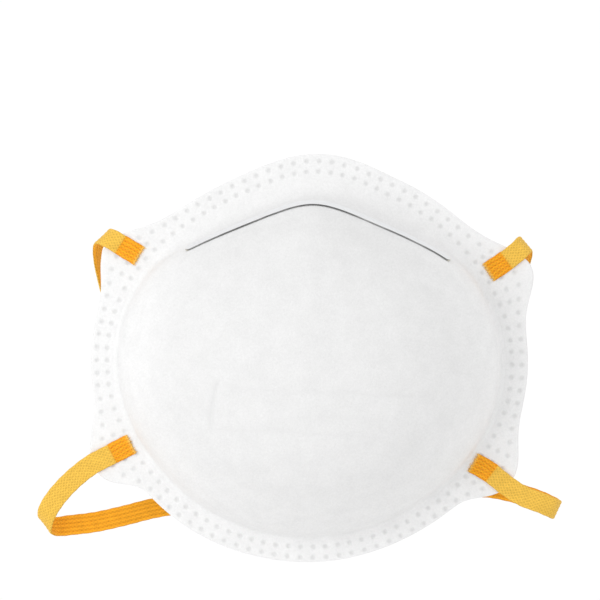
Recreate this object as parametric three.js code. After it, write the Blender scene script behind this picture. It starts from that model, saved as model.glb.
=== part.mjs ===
// Disposable cup respirator: a moulded dome of five welded layers, a nose clip, a nose foam and two
// elastic head straps.  Millimetres.  +Z is up (nose), -Y is the front of the dome, +Y is the wearer.
// The origin is the centre of the rim opening, on the back plane of the welded flange.
import * as THREE from 'three';

// ---- driving dimensions -------------------------------------------------------------------------
const DOME_DEPTH = 48;          // from the flange's front face to the foremost point of the dome
const FLANGE_THICKNESS = 1.2;   // all five layers, pressed together by the weld
const DOME_THICKNESS = 2.9;     // all five layers, lofty
const PLY_GAP = 0.05;           // clearance between neighbouring layers
const FILLET_DEPTH = 9;         // the foot of the dome flares out into the flange over this depth
const ROUND_POWER = 2.2;        // superellipse powers of the dome's profile
const DEPTH_POWER = 2.3;
const NOSE_DEPTH_POWER = 3;     // the wall over the nose stays steep further forward
const SLICES = 48;              // steps round the rim
const SKIN_DEPTHS = [0, 1.5, 5, 12, 22, 32, 40, 45.5];   // rings between the flange and the apex

const FOOT_RADIUS = 54.3;       // foot of the dome at the chin
const FOOT_SIDE_GAIN = 5.3;     // how much wider the foot is at the cheeks
const FOOT_LEAN = 0.42;         // and how much more of that is on the +X side
const FLANGE_WIDTH = 6.9;       // from the foot to the edge, away from the ears
const FLANGE_NOSE_GAIN = 0.35;  // how much wider the flange is at the nose than at the cheeks
const FLANGE_SKEW = 0.25;       // and how much wider between the nose and the +X cheek
const WALL_INSET = 1.7;         // the wall rises this far inside its foot at the cheeks and chin

// Where the foot swells out or draws in: angle round the rim, height and spread.
const FOOT_SWELLS = [
  { angle: 90, height: 2.2, spread: 17 },
  { angle: 121, height: -1.55, spread: 27 },
  { angle: 69, height: -0.4, spread: 8 },
  { angle: 236, height: 0.9, spread: 20 },
];

// Over the nose the wall is a rounded tent: the direction each plane faces and its distance out.
const TENT_PLANES = [[90, 51.8], [68.2, 48.4], [115.2, 47.5]];
const TENT_SHARPNESS = 24;

// The four ears that carry the straps: angle round the rim, height, and how far each side spreads.
const EARS = [
  { angle: 26, height: 8.5, above: 9.6, abovePower: 1.8, below: 8.6, belowPower: 2 },
  { angle: 152.5, height: 7.2, above: 8.9, abovePower: 2, below: 9.4, belowPower: 2 },
  { angle: -27.5, height: 7.2, above: 9.5, abovePower: 2, below: 8.9, belowPower: 3 },
  { angle: 208.5, height: 8.3, above: 8.2, abovePower: 3.2, below: 9.9, belowPower: 2 },
];

// Layers from the outside in: thickness in the flange and on the dome.
const LAYERS = [
  { name: 'outer_cover', flange: 0.2, dome: 0.35, colour: 0xf4f4f2, roughness: 0.95 },
  { name: 'support_shell', flange: 0.3, dome: 1.25, colour: 0xf7f7f5, roughness: 0.97 },
  { name: 'filter_layer_outer', flange: 0.15, dome: 0.4, colour: 0xfafafa, roughness: 0.98 },
  { name: 'filter_layer_inner', flange: 0.15, dome: 0.4, colour: 0xfafafa, roughness: 0.98 },
  { name: 'inner_lining', flange: 0.2, dome: 0.3, colour: 0xf2f2f0, roughness: 0.95 },
];

const CLIP = { centre: 89.1, halfAngle: 50.8, back: 17.6, front: 22.6, endLift: 3.5, thickness: 0.5 };
const FOAM = { centre: 90, halfAngle: 50, back: 3, front: 14, endLift: 0, thickness: 4 };
const GLUE_COLOUR = 0xe8e6dc;
const GLUE_THICKNESS = 0.15;
const GLUE_INSET = 0.6;         // the glue stops short of the edges of what it holds
const CLIP_GAP = 0.2;           // clearance between the cover and the glue of the clip
const FOAM_GAP = 0.3;           // and between the lining, the foam's glue and the foam
const PAD_STEP = 180 / SLICES;  // a pad's columns lie on the slices and halfway between them

const STRAP_WIDTH = 6;
const STRAP_THICKNESS = 1;
const NECK_WIDTH = 1.6;         // the ribbon narrows to this where it is split at its fold
const NECK_STATIONS = 0.7;      // over this much of one station of the route
const SPLIT_STATIONS = 0.2;     // half the clearance at the split, in stations
const LOOP_STEPS = 44;
const END_STEPS = 12;

// ---- the dome's surface ---------------------------------------------------------------------------
const radians = (degrees) => degrees * Math.PI / 180;
const bump = (offset, spread, power = 2) => Math.exp(-(Math.abs(offset / spread) ** power));
const turnBetween = (a, b) => ((a - b + 540) % 360) - 180;

function earHeight(angle) {
  return EARS.reduce((sum, ear) => {
    const turn = turnBetween(angle, ear.angle);
    const shape = turn > 0
      ? bump(turn, ear.above, ear.abovePower)
      : bump(turn, ear.below, ear.belowPower);
    return sum + ear.height * shape;
  }, 0);
}

function footRadius(angle) {
  const sideways = Math.cos(radians(angle));
  return FOOT_SWELLS.reduce(
    (sum, swell) => sum + swell.height * bump(turnBetween(angle, swell.angle), swell.spread),
    FOOT_RADIUS + FOOT_SIDE_GAIN * sideways ** 4 + FOOT_LEAN * sideways,
  );
}

function edgeRadius(angle) {
  const nose = FLANGE_NOSE_GAIN * Math.sin(radians(angle));
  const skew = FLANGE_SKEW * Math.sin(radians(2 * angle));
  return footRadius(angle) + FLANGE_WIDTH + nose + skew + earHeight(angle);
}

// The contour that the wall rises from: an oval, cut by the tent over the nose.
function wallRadius(angle) {
  const oval = footRadius(angle) - WALL_INSET;
  const cuts = TENT_PLANES.map(
    ([toward, distance]) => Math.max(0, Math.cos(radians(angle - toward))) / distance,
  );
  const sum = cuts.reduce((total, cut) => total + cut ** TENT_SHARPNESS, oval ** -TENT_SHARPNESS);
  return sum ** (-1 / TENT_SHARPNESS);
}

function domeRadius(angle, depth) {
  const wall = wallRadius(angle);
  const up = Math.max(0, Math.sin(radians(angle)));
  const power = DEPTH_POWER + (NOSE_DEPTH_POWER - DEPTH_POWER) * up;
  const round = Math.max(0, 1 - (depth / DOME_DEPTH) ** power) ** (1 / ROUND_POWER);
  const rise = Math.max(0, 1 - Math.sqrt(depth / FILLET_DEPTH));
  return wall * round + (footRadius(angle) - wall) * rise ** 2;
}

function polar(angle, radius, depth) {
  return new THREE.Vector3(
    radius * Math.cos(radians(angle)),
    -FLANGE_THICKNESS - depth,
    radius * Math.sin(radians(angle)),
  );
}

const domePoint = (angle, depth) => polar(angle, domeRadius(angle, depth), depth);

// Outward normal of the dome's wall, from two short steps along the surface.
function domeNormal(angle, depth) {
  const step = 0.25;
  const low = Math.max(0.6, depth - step);
  const along = domePoint(angle, low + 2 * step).sub(domePoint(angle, low));
  const round = domePoint(angle + 1, depth).sub(domePoint(angle - 1, depth));
  return round.cross(along).normalize();
}

// ---- closed bodies between two surfaces -----------------------------------------------------------
function closedBody(positions, faces) {
  const geometry = new THREE.BufferGeometry();
  const numbers = positions.flatMap((point) => point.toArray());
  geometry.setAttribute('position', new THREE.Float32BufferAttribute(numbers, 3));
  geometry.setIndex(faces.flat());
  geometry.computeVertexNormals();
  return geometry;
}

// One layer: rings of outer points from the edge to the apex, and the same rings moved inwards.
function layerGeometry(outerFlange, innerFlange, outerDome, innerDome) {
  const positions = [];
  const surface = (flangeDepth, domeDepth) => {
    const start = positions.length;
    const toFlange = (radius, angle) => positions.push(
      polar(angle, radius, 0).add(new THREE.Vector3(0, flangeDepth, 0)),
    );
    const angles = Array.from({ length: SLICES }, (_, i) => i * 360 / SLICES);
    angles.forEach((angle) => toFlange(edgeRadius(angle), angle));
    SKIN_DEPTHS.forEach((depth, ring) => angles.forEach((angle) => {
      if (ring === 0) {
        toFlange(footRadius(angle), angle);
        return;
      }
      const share = Math.min(1, ring / 2);
      const inward = flangeDepth + (domeDepth - flangeDepth) * share;
      positions.push(domePoint(angle, depth).addScaledVector(domeNormal(angle, depth), -inward));
    }));
    positions.push(polar(0, 0, DOME_DEPTH).add(new THREE.Vector3(0, domeDepth, 0)));
    return start;
  };
  const outer = surface(outerFlange, outerDome);
  const inner = surface(innerFlange, innerDome);
  const rings = SKIN_DEPTHS.length + 1;
  const apex = rings * SLICES;
  const faces = [];
  for (let i = 0; i < SLICES; i += 1) {
    const j = (i + 1) % SLICES;
    for (let ring = 0; ring < rings - 1; ring += 1) {
      const a = ring * SLICES + i;
      const b = ring * SLICES + j;
      const c = a + SLICES;
      const d = b + SLICES;
      faces.push([outer + a, outer + b, outer + d], [outer + a, outer + d, outer + c]);
      faces.push([inner + a, inner + d, inner + b], [inner + a, inner + c, inner + d]);
    }
    const last = (rings - 1) * SLICES;
    faces.push([outer + last + i, outer + last + j, outer + apex]);
    faces.push([inner + last + j, inner + last + i, inner + apex]);
    faces.push([outer + j, outer + i, inner + i], [outer + j, inner + i, inner + j]);
  }
  return closedBody(positions, faces);
}

// A pad on the dome's wall: a strip of angles and depths, between two distances out of the surface.
function padGeometry({ centre, halfAngle, back, front, endLift, low, high, across, taper = 0 }) {
  const first = Math.floor((centre + halfAngle) / PAD_STEP - 0.3);
  const last = Math.ceil((centre - halfAngle) / PAD_STEP + 0.3);
  const steps = Array.from({ length: first - last + 1 }, (_, i) => (first - i) * PAD_STEP - centre);
  const offsets = [halfAngle, ...steps, -halfAngle];
  const positions = [];
  const along = offsets.length - 1;
  const columns = along + 1;
  const rows = across + 1;
  [high, low].forEach((distance) => offsets.forEach((offset) => {
    const out = Math.abs(offset / halfAngle);
    const narrow = 1 - taper * out ** 4;
    for (let j = 0; j < rows; j += 1) {
      const middle = (back + front) / 2 - endLift * out ** 2;
      const depth = middle + (j / across - 0.5) * (front - back) * narrow;
      const normal = domeNormal(centre + offset, depth);
      positions.push(domePoint(centre + offset, depth).addScaledVector(normal, distance));
    }
  }));
  const at = (side, i, j) => side * columns * rows + i * rows + j;
  const faces = [];
  const quad = (a, b, c, d) => faces.push([a, b, c], [a, c, d]);
  for (let i = 0; i < along; i += 1) {
    for (let j = 0; j < across; j += 1) {
      quad(at(0, i, j), at(0, i, j + 1), at(0, i + 1, j + 1), at(0, i + 1, j));
      quad(at(1, i, j), at(1, i + 1, j), at(1, i + 1, j + 1), at(1, i, j + 1));
    }
    quad(at(0, i, 0), at(0, i + 1, 0), at(1, i + 1, 0), at(1, i, 0));
    quad(at(0, i, across), at(1, i, across), at(1, i + 1, across), at(0, i + 1, across));
  }
  for (let j = 0; j < across; j += 1) {
    quad(at(0, 0, j), at(1, 0, j), at(1, 0, j + 1), at(0, 0, j + 1));
    quad(at(0, along, j), at(0, along, j + 1), at(1, along, j + 1), at(1, along, j));
  }
  return closedBody(positions, faces);
}

// ---- the straps -------------------------------------------------------------------------------------
// Each route runs from the left weld round the back to the right weld.  A station is a point of the
// ribbon's middle line and the direction that its outer face looks.
const UPPER_ROUTE = [
  [[-52.7, -1.8, 30.0], [0, -1, 0]],
  [[-58.2, -1.8, 33.0], [0, -1, 0]],
  [[-61.3, -1.8, 34.7], [-0.2, -0.95, 0.2]],
  [[-63.4, 0.4, 35.4], [-0.6, -0.6, 0.6]],
  [[-64.3, 3.2, 35.1], [-0.7, 0, 0.7]],
  [[-65.1, 6.2, 33.6], [-0.75, 0.35, 0.5]],
  [[-65.8, 10.5, 29.8], [-0.95, 0.3, 0.1]],
  [[-65.5, 15.5, 24.8], [-0.98, 0.1, -0.1]],
  [[-63.7, 22, 18], [-0.98, 0.1, -0.15]],
  [[-60, 29.5, 11], [-0.9, 0.4, -0.1]],
  [[-52.5, 37.5, 4.5], [-0.7, 0.7, -0.05]],
  [[-42, 43.5, 0.2], [-0.45, 0.9, 0]],
  [[-28, 47.5, -2.2], [-0.25, 0.97, 0]],
  [[-13, 49.5, -3], [-0.1, 1, 0]],
  [[3, 49.5, -2.6], [0.05, 1, 0]],
  [[18, 48, -0.8], [0.15, 1, 0]],
  [[32, 44.8, 2.6], [0.3, 0.95, 0]],
  [[44.5, 39.2, 8], [0.5, 0.85, -0.05]],
  [[54, 31.5, 15], [0.75, 0.65, -0.05]],
  [[60.2, 23, 23], [0.9, 0.4, 0.05]],
  [[63.6, 15, 31], [0.9, 0.3, 0.2]],
  [[65.1, 10.4, 34.8], [0.88, 0.2, 0.4]],
  [[65.1, 6.2, 37.6], [0.78, 0.15, 0.6]],
  [[64.5, 1.6, 38.7], [0.7, -0.25, 0.7]],
  [[63.4, -1.1, 37.6], [0.5, -0.8, 0.5]],
  [[61.5, -1.8, 35.7], [0.05, -1, 0.05]],
  [[58.4, -1.8, 33.1], [0, -1, 0]],
  [[53.6, -1.8, 29.6], [0, -1, 0]],
];
const LOWER_ROUTE = [
  [[-52.6, -1.8, -27.2], [0, -1, 0]],
  [[-59.2, -1.8, -31], [0, -1, 0]],
  [[-64.6, -1.8, -34.2], [0, -1, 0]],
  [[-70.5, -1.9, -39.4], [0, -1, 0]],
  [[-74.8, -1.9, -44.6], [0, -1, 0]],
  [[-77.3, -0.6, -49], [-0.4, -0.85, -0.3]],
  [[-78.0, 2.0, -51.9], [-0.65, -0.45, -0.55]],
  [[-77.6, 4.6, -53.3], [-0.75, 0.05, -0.6]],
  [[-75.2, 8.2, -53.9], [-0.55, 0.7, -0.45]],
  [[-70.5, 10.4, -53.3], [-0.1, 1, -0.1]],
  [[-63, 12, -52.1], [-0.1, 1, 0]],
  [[-54.5, 14, -49.9], [-0.15, 1, 0]],
  [[-45, 16.8, -47.2], [-0.2, 1, 0]],
  [[-32, 20.6, -44.9], [-0.2, 1, 0]],
  [[-17, 23.8, -43.5], [-0.15, 1, 0]],
  [[0, 25.6, -42.9], [-0.05, 1, 0]],
  [[17, 25.6, -42.5], [0.05, 1, 0]],
  [[32, 23.6, -40.8], [0.15, 1, 0]],
  [[45, 19.8, -38.2], [0.2, 1, 0]],
  [[55.5, 15.6, -36.4], [0.2, 1, 0]],
  [[64.5, 12.4, -37.4], [0.15, 1, 0]],
  [[72, 10.2, -39.3], [0.2, 1, -0.1]],
  [[76.3, 7.4, -41], [0.7, 0.6, -0.3]],
  [[77.8, 4.6, -41.8], [0.92, 0.03, -0.38]],
  [[76.4, 0.4, -41.2], [0.7, -0.6, -0.3]],
  [[72.6, -1.7, -39.7], [0.1, -1, 0]],
  [[67.4, -1.8, -38], [0, -1, 0]],
  [[62, -1.8, -34.9], [0, -1, 0]],
  [[56.6, -1.8, -31], [0, -1, 0]],
  [[51.5, -1.8, -28.3], [0, -1, 0]],
];

// The stations at which each ribbon is split, one at each fold: the swing's axis runs through them.
const UPPER_SPLITS = [5, 22];
const LOWER_SPLITS = [7, 23];

function ribbonGeometry(route, from, to, steps, neckAtStart, neckAtEnd) {
  const points = route.map(([point]) => new THREE.Vector3(...point));
  const looks = route.map(([, look]) => new THREE.Vector3(...look));
  const line = new THREE.CatmullRomCurve3(points, false, 'centripetal');
  const facing = new THREE.CatmullRomCurve3(looks, false, 'catmullrom');
  const spans = route.length - 1;
  const positions = [];
  for (let i = 0; i <= steps; i += 1) {
    const station = from + (to - from) * i / steps;
    const point = line.getPoint(station / spans);
    const tangent = line.getTangent(station / spans);
    const across = facing.getPoint(station / spans).cross(tangent).normalize();
    const outward = tangent.clone().cross(across).normalize();
    const nearStart = neckAtStart ? (station - from) / NECK_STATIONS : 1;
    const nearEnd = neckAtEnd ? (to - station) / NECK_STATIONS : 1;
    const open = Math.min(1, nearStart, nearEnd);
    const half = (NECK_WIDTH + (STRAP_WIDTH - NECK_WIDTH) * Math.sqrt(open)) / 2;
    const deep = STRAP_THICKNESS / 2;
    [[1, 1], [-1, 1], [-1, -1], [1, -1]].forEach(([side, face]) => positions.push(
      point.clone().addScaledVector(across, side * half).addScaledVector(outward, face * deep),
    ));
  }
  const faces = [];
  const quad = (a, b, c, d) => faces.push([a, b, c], [a, c, d]);
  for (let i = 0; i < steps; i += 1) {
    for (let k = 0; k < 4; k += 1) {
      const a = 4 * i + k;
      const b = 4 * i + (k + 1) % 4;
      quad(a, b, b + 4, a + 4);
    }
  }
  quad(3, 2, 1, 0);
  quad(4 * steps, 4 * steps + 1, 4 * steps + 2, 4 * steps + 3);
  return closedBody(positions, faces);
}

// ---- assembly -----------------------------------------------------------------------------------------
const respirator = new THREE.Group();

function addPart(name, geometry, colour, roughness, metalness = 0) {
  const material = new THREE.MeshStandardMaterial({ color: colour, roughness, metalness });
  const mesh = new THREE.Mesh(geometry, material);
  mesh.name = name;
  respirator.add(mesh);
}

function addLayers() {
  const lead = { flange: 0, dome: 0 };
  LAYERS.forEach(({ name, flange, dome, colour, roughness }) => {
    const geometry = layerGeometry(lead.flange, lead.flange + flange, lead.dome, lead.dome + dome);
    addPart(name, geometry, colour, roughness);
    lead.flange += flange + PLY_GAP;
    lead.dome += dome + PLY_GAP;
  });
}

function addNoseClip() {
  const glue = { ...CLIP, back: CLIP.back + GLUE_INSET, front: CLIP.front - GLUE_INSET };
  const glueTop = CLIP_GAP + GLUE_THICKNESS;
  const clipBase = glueTop + PLY_GAP;
  const mesh = { across: 2 };
  addPart(
    'nose_clip_adhesive',
    padGeometry({ ...glue, ...mesh, low: CLIP_GAP, high: glueTop }),
    GLUE_COLOUR, 0.5,
  );
  addPart(
    'nose_clip',
    padGeometry({ ...CLIP, ...mesh, low: clipBase, high: clipBase + CLIP.thickness }),
    0xc9cccf, 0.32, 1,
  );
}

function addNoseFoam() {
  const glue = { ...FOAM, back: FOAM.back + GLUE_INSET, front: FOAM.front - GLUE_INSET };
  const glueTop = -DOME_THICKNESS - FOAM_GAP;
  const foamTop = glueTop - GLUE_THICKNESS - FOAM_GAP;
  const mesh = { across: 4, taper: 0.35 };
  addPart(
    'nose_foam_adhesive',
    padGeometry({ ...glue, ...mesh, low: glueTop - GLUE_THICKNESS, high: glueTop }),
    GLUE_COLOUR, 0.5,
  );
  addPart(
    'nose_foam',
    padGeometry({ ...FOAM, ...mesh, low: foamTop - FOAM.thickness, high: foamTop }),
    0xe2e2dd, 1,
  );
}

function addStrap(prefix, route, [leftSplit, rightSplit]) {
  const colour = 0xf7b035;
  const last = route.length - 1;
  const gap = SPLIT_STATIONS;
  const left = ribbonGeometry(route, 0, leftSplit - gap, END_STEPS, false, true);
  const loop = ribbonGeometry(route, leftSplit + gap, rightSplit - gap, LOOP_STEPS, true, true);
  const right = ribbonGeometry(route, rightSplit + gap, last, END_STEPS, true, false);
  addPart(`${prefix}_strap_end_left`, left, colour, 0.8);
  addPart(`${prefix}_strap_loop`, loop, colour, 0.8);
  addPart(`${prefix}_strap_end_right`, right, colour, 0.8);
}

addLayers();
addNoseClip();
addNoseFoam();
addStrap('upper', UPPER_ROUTE, UPPER_SPLITS);
addStrap('lower', LOWER_ROUTE, LOWER_SPLITS);

export default respirator;
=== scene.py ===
"""The looks of a disposable cup dust mask: a moulded nonwoven dome with a welded flange, a bent nose clip,
a foam cushion and two elastic straps.  Shapes are worked out in millimetres, in the frame of the CAD."""

import math
from collections import namedtuple

import bmesh
import bpy
import numpy as np
from mathutils import Matrix, Vector


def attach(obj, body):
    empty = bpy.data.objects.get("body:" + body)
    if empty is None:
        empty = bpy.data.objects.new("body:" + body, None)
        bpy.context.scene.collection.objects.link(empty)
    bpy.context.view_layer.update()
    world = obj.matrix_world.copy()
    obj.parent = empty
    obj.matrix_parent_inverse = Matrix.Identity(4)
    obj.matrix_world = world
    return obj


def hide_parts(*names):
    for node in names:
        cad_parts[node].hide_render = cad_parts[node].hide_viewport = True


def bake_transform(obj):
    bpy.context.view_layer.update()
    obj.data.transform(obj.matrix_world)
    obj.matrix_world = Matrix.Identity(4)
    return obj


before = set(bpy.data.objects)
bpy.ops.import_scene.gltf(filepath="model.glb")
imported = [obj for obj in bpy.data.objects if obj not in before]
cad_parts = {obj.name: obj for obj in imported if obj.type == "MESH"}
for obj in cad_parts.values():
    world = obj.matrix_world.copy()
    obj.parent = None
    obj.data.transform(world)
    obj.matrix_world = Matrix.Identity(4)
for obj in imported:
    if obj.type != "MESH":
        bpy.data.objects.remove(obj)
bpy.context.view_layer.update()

MM = 0.001

# ---- the camera ------------------------------------------------------------------------------------
CAMERA_DISTANCE = 1400.0
CAMERA_SPAN = 182.7             # width of the picture at the flange
CAMERA_AIM = (-3.26, 0.0, 18.75)
CAMERA_ROLL = 2.5               # degrees; the mask leans a little to the right in the picture
SENSOR = 36.0


def make_camera():
    data = bpy.data.cameras.new("camera")
    data.sensor_width = SENSOR
    data.lens = SENSOR * CAMERA_DISTANCE / CAMERA_SPAN
    data.clip_start = 0.05
    data.clip_end = 20.0
    camera = bpy.data.objects.new("camera", data)
    roll = math.radians(CAMERA_ROLL)
    right = (math.cos(roll), 0.0, math.sin(roll))
    up = (-math.sin(roll), 0.0, math.cos(roll))
    back = (0.0, -1.0, 0.0)
    place = [CAMERA_AIM[0] * MM, (CAMERA_AIM[1] - CAMERA_DISTANCE) * MM, CAMERA_AIM[2] * MM]
    camera.matrix_world = Matrix([[right[i], up[i], back[i], place[i]] for i in range(3)] + [[0, 0, 0, 1]])
    bpy.context.scene.collection.objects.link(camera)
    bpy.context.scene.camera = camera


make_camera()

# ---- small tools -----------------------------------------------------------------------------------
RANDOM = np.random.default_rng(11)


def smoothstep(values, low, high):
    share = np.clip((values - low) / (high - low), 0.0, 1.0)
    return share * share * (3.0 - 2.0 * share)


def unit(vectors):
    return vectors / np.linalg.norm(vectors, axis=-1, keepdims=True)


def soft_noise(points, wavelength, waves=14):
    """Smooth noise of about -1 to 1: a sum of sine waves in directions drawn once."""
    directions = unit(RANDOM.normal(size=(waves, 3)))
    lengths = wavelength * RANDOM.uniform(0.7, 1.5, waves)
    phases = RANDOM.uniform(0.0, 2.0 * math.pi, waves)
    steps = points @ (directions / lengths[:, None]).T * 2.0 * math.pi
    return np.sin(steps + phases).sum(axis=-1) / math.sqrt(waves)


def new_mesh(name, points, faces, attributes=None, uv=None):
    """A mesh object from points in millimetres, with its faces turned outward."""
    mesh = bpy.data.meshes.new(name)
    mesh.from_pydata((np.asarray(points, float) * MM).tolist(), [], faces)
    mesh.update()
    for attribute, values in (attributes or {}).items():
        layer = mesh.attributes.new(attribute, "FLOAT", "POINT")
        layer.data.foreach_set("value", np.asarray(values, np.float32))
    work = bmesh.new()
    work.from_mesh(mesh)
    bmesh.ops.recalc_face_normals(work, faces=work.faces)
    work.to_mesh(mesh)
    work.free()
    if uv is not None:
        corners = np.zeros(len(mesh.loops), np.int32)
        mesh.loops.foreach_get("vertex_index", corners)
        layer = mesh.uv_layers.new(name="UVMap")
        layer.data.foreach_set("uv", np.asarray(uv, np.float32)[corners].ravel())
    mesh.polygons.foreach_set("use_smooth", np.ones(len(mesh.polygons), bool))
    piece = bpy.data.objects.new(name, mesh)
    bpy.context.scene.collection.objects.link(piece)
    return piece


def stitch(fine, fine_count, coarse, coarse_count):
    """Faces between a ring of points and a ring with a whole fraction of them."""
    ratio = fine_count // coarse_count
    faces = []
    for j in range(coarse_count):
        near = coarse + j
        far = coarse + (j + 1) % coarse_count
        for step in range(ratio):
            a = fine + j * ratio + step
            b = fine + (j * ratio + step + 1) % fine_count
            if coarse_count == 1 or step < ratio // 2:
                faces.append([a, b, near])
            elif step == ratio // 2:
                faces.append([a, b, far, near])
            else:
                faces.append([a, b, far])
    return faces


def ring_faces(counts):
    """Faces of a body made of rings of points; neighbouring rings may differ by a whole ratio."""
    starts = np.concatenate([[0], np.cumsum(counts)[:-1]]).tolist()
    faces = []
    for a, n, b, m in zip(starts, counts, starts[1:], counts[1:]):
        if n == m:
            i = np.arange(n)
            j = (i + 1) % n
            faces += np.column_stack([a + i, a + j, b + j, b + i]).tolist()
        elif n > m:
            faces += stitch(a, n, b, m)
        else:
            faces += stitch(b, m, a, n)
    return faces


# ---- the straps' routes: the stations of the CAD ribbons ---------------------------------------------
UPPER_ROUTE = [
    [[-52.7, -1.8, 30.0], [0, -1, 0]],
    [[-58.2, -1.8, 33.0], [0, -1, 0]],
    [[-61.3, -1.8, 34.7], [-0.2, -0.95, 0.2]],
    [[-63.4, 0.4, 35.4], [-0.6, -0.6, 0.6]],
    [[-64.3, 3.2, 35.1], [-0.7, 0, 0.7]],
    [[-65.1, 6.2, 33.6], [-0.75, 0.35, 0.5]],
    [[-65.8, 10.5, 29.8], [-0.95, 0.3, 0.1]],
    [[-65.5, 15.5, 24.8], [-0.98, 0.1, -0.1]],
    [[-63.7, 22, 18], [-0.98, 0.1, -0.15]],
    [[-60, 29.5, 11], [-0.9, 0.4, -0.1]],
    [[-52.5, 37.5, 4.5], [-0.7, 0.7, -0.05]],
    [[-42, 43.5, 0.2], [-0.45, 0.9, 0]],
    [[-28, 47.5, -2.2], [-0.25, 0.97, 0]],
    [[-13, 49.5, -3], [-0.1, 1, 0]],
    [[3, 49.5, -2.6], [0.05, 1, 0]],
    [[18, 48, -0.8], [0.15, 1, 0]],
    [[32, 44.8, 2.6], [0.3, 0.95, 0]],
    [[44.5, 39.2, 8], [0.5, 0.85, -0.05]],
    [[54, 31.5, 15], [0.75, 0.65, -0.05]],
    [[60.2, 23, 23], [0.9, 0.4, 0.05]],
    [[63.6, 15, 31], [0.9, 0.3, 0.2]],
    [[65.1, 10.4, 34.8], [0.88, 0.2, 0.4]],
    [[65.1, 6.2, 37.6], [0.78, 0.15, 0.6]],
    [[64.5, 1.6, 38.7], [0.7, -0.25, 0.7]],
    [[63.4, -1.1, 37.6], [0.5, -0.8, 0.5]],
    [[61.5, -1.8, 35.7], [0.05, -1, 0.05]],
    [[58.4, -1.8, 33.1], [0, -1, 0]],
    [[53.6, -1.8, 29.6], [0, -1, 0]],
]
LOWER_ROUTE = [
    [[-52.6, -1.8, -27.2], [0, -1, 0]],
    [[-59.2, -1.8, -31], [0, -1, 0]],
    [[-64.6, -1.8, -34.2], [0, -1, 0]],
    [[-70.5, -1.9, -39.4], [0, -1, 0]],
    [[-74.8, -1.9, -44.6], [0, -1, 0]],
    [[-77.3, -0.6, -49], [-0.4, -0.85, -0.3]],
    [[-78.0, 2.0, -51.9], [-0.65, -0.45, -0.55]],
    [[-77.6, 4.6, -53.3], [-0.75, 0.05, -0.6]],
    [[-75.2, 8.2, -53.9], [-0.55, 0.7, -0.45]],
    [[-70.5, 10.4, -53.3], [-0.1, 1, -0.1]],
    [[-63, 12, -52.1], [-0.1, 1, 0]],
    [[-54.5, 14, -49.9], [-0.15, 1, 0]],
    [[-45, 16.8, -47.2], [-0.2, 1, 0]],
    [[-32, 20.6, -44.9], [-0.2, 1, 0]],
    [[-17, 23.8, -43.5], [-0.15, 1, 0]],
    [[0, 25.6, -42.9], [-0.05, 1, 0]],
    [[17, 25.6, -42.5], [0.05, 1, 0]],
    [[32, 23.6, -40.8], [0.15, 1, 0]],
    [[45, 19.8, -38.2], [0.2, 1, 0]],
    [[55.5, 15.6, -36.4], [0.2, 1, 0]],
    [[64.5, 12.4, -37.4], [0.15, 1, 0]],
    [[72, 10.2, -39.3], [0.2, 1, -0.1]],
    [[76.3, 7.4, -41], [0.7, 0.6, -0.3]],
    [[77.8, 4.6, -41.8], [0.92, 0.03, -0.38]],
    [[76.4, 0.4, -41.2], [0.7, -0.6, -0.3]],
    [[72.6, -1.7, -39.7], [0.1, -1, 0]],
    [[67.4, -1.8, -38], [0, -1, 0]],
    [[62, -1.8, -34.9], [0, -1, 0]],
    [[56.6, -1.8, -31], [0, -1, 0]],
    [[51.5, -1.8, -28.3], [0, -1, 0]],
]
STRAP_WIDTH = 6.2
STRAP_THICKNESS = 0.95
ROUTE_SAMPLES = 6000
ROW_STEP = 0.34                 # length of one row of the ribbon's mesh
FACE_COLUMNS = 41               # points across each face
EDGE_POWER = 14                 # how square the ribbon's edges are
RIBS = 5
RIBBED_SHARE = 0.96             # of the width
OUTER_RIB = 0.045               # heights of the ribs on the two faces
INNER_RIB = 0.11
KNIT_STEP = 1.1                 # from one stitch to the next, along the ribbon
KNIT_HEIGHT = 0.025
INNER_KNIT_SHARE = 0.3
PAD_LENGTH = 6.6                # the melted weld at each end
PAD_THICKNESS = 0.5
PAD_LEVEL = -1.52               # the weld's middle, just above the flange
PAD_LINE_HEIGHT = 0.13          # the weld's irregular grooves, and the horn's hatching over them
PAD_HATCH_HEIGHT = 0.05
PAD_HATCH_STEP = 1.25
FRAY_LENGTH = 0.9
FRAY_REACH = 0.22
CUT_SINK = 0.10                 # how far the cut end is pressed towards the flange

Rows = namedtuple("Rows", "place across outward along pad")


def interpolate(values, stations, by_distance):
    """Catmull-Rom through the values, and its slope: centripetal if by_distance, else uniform."""
    values = np.asarray(values, float)
    count = len(values)
    padded = np.vstack([2 * values[0] - values[1], values, 2 * values[-1] - values[-2]])
    first = np.clip(np.floor(stations).astype(int), 0, count - 2)
    t = (stations - first)[:, None]
    p0, p1, p2, p3 = (padded[first + k] for k in range(4))
    d0 = d1 = d2 = 1.0
    if by_distance:
        steps = (p1 - p0, p2 - p1, p3 - p2)
        d0, d1, d2 = (np.linalg.norm(step, axis=1, keepdims=True) ** 0.5 for step in steps)
    start = ((p1 - p0) / d0 - (p2 - p0) / (d0 + d1) + (p2 - p1) / d1) * d1
    end = ((p2 - p1) / d1 - (p3 - p1) / (d1 + d2) + (p3 - p2) / d2) * d1
    square = 3 * (p2 - p1) - 2 * start - end
    cube = 2 * (p1 - p2) + start + end
    place = p1 + start * t + square * t ** 2 + cube * t ** 3
    slope = start + 2 * square * t + 3 * cube * t ** 2
    return place, slope


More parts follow.
